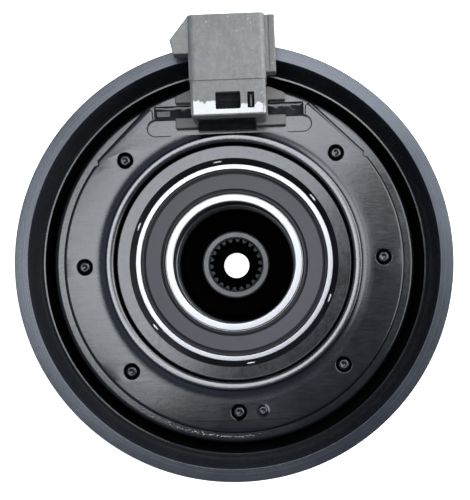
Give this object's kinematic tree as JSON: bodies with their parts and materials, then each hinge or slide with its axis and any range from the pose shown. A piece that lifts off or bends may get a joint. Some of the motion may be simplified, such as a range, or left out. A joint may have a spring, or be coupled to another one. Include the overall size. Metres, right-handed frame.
{
  "type": "electromagnetic clutch",
  "caption": "Compressor clutch: ribbed belt pulley on a sealed bearing, field coil with a radial connector, and an armature plate on leaf springs with a splined hub.",
  "frame": {"origin": "centre of the bearing bore, halfway along the bearing", "axes": "+Z along the axis of rotation towards the compressor (rear), +Y towards the connector, +X to the right when seen from the rear with the connector up"},
  "size_m": [0.144, 0.1504, 0.067],
  "materials": {
    "shell_black": "gloss black e-coat",
    "plate_black": "gloss black e-coat over rolled steel",
    "bobbin_plastic": "satin glass-filled plastic",
    "copper_wire": "enamelled copper",
    "resin_black": "wet gloss",
    "housing_plastic": "satin moulded plastic",
    "terminal_brass": "tin-flashed brass",
    "diode_epoxy": "moulded epoxy",
    "bearing_steel": "ground",
    "seal_rubber": "matt nitrile",
    "ball_steel": "polished",
    "cage_plastic": "glass-filled polyamide",
    "rotor_black": "gloss black e-coat",
    "pulley_grey": "satin dark grey phosphate",
    "hub_steel": "satin dark coating",
    "spring_steel": "rolled spring steel",
    "rivet_steel": "zinc-plated",
    "bumper_rubber": "matt",
    "armature_steel": "turned face"
  },
  "bodies": {
    "stator": {"coil_shell": "shell_black", "mounting_plate": "plate_black", "plate_rivets": "plate_black", "coil_bobbin": "bobbin_plastic", "coil_winding": "copper_wire", "coil_leads": "copper_wire", "potting_resin": "resin_black", "connector_housing": "housing_plastic", "terminal_left": "terminal_brass", "terminal_right": "terminal_brass", "suppression_diode": "diode_epoxy", "bearing_inner_ring": "bearing_steel"},
    "pulley": {"rotor_body": "rotor_black", "belt_pulley": "pulley_grey", "bearing_outer_ring": "bearing_steel", "rear_seal": "seal_rubber", "front_seal": "seal_rubber"},
    "rear_row": {"rear_balls": "ball_steel", "rear_cage": "cage_plastic"},
    "front_row": {"front_balls": "ball_steel", "front_cage": "cage_plastic"},
    "hub": {"splined_hub": "hub_steel", "hub_flange": "hub_steel", "leaf_spring_1": "spring_steel", "leaf_spring_2": "spring_steel", "leaf_spring_3": "spring_steel", "hub_rivets": "rivet_steel", "stop_bumpers": "bumper_rubber"},
    "armature": {"armature_plate": "armature_steel", "armature_rivets": "rivet_steel"}
  },
  "joints": [
    {"name": "pulley_spin", "type": "hinge", "parent": "stator", "child": "pulley", "pos_m": [0, 0, 0], "axis": [0, 0, 1], "continuous": true},
    {"name": "rear_row_orbit", "type": "hinge", "parent": "stator", "child": "rear_row", "pos_m": [0, 0, 0.005], "axis": [0, 0, 1], "continuous": true},
    {"name": "front_row_orbit", "type": "hinge", "parent": "stator", "child": "front_row", "pos_m": [0, 0, -0.005], "axis": [0, 0, 1], "continuous": true},
    {"name": "hub_spin", "type": "hinge", "parent": "stator", "child": "hub", "pos_m": [0, 0, -0.02], "axis": [0, 0, 1], "continuous": true},
    {"name": "armature_pull_in", "type": "slide", "parent": "hub", "child": "armature", "axis": [0, 0, 1], "range_m": [0, 0.0005], "stiffness_N_per_m": 40000, "springref_m": -0.0005, "deforming": ["leaf_spring_1", "leaf_spring_2", "leaf_spring_3"]}
  ],
  "couplings": [
    {"joint": "rear_row_orbit", "follows": "pulley_spin", "ratio": 0.561},
    {"joint": "front_row_orbit", "follows": "pulley_spin", "ratio": 0.561}
  ]
}
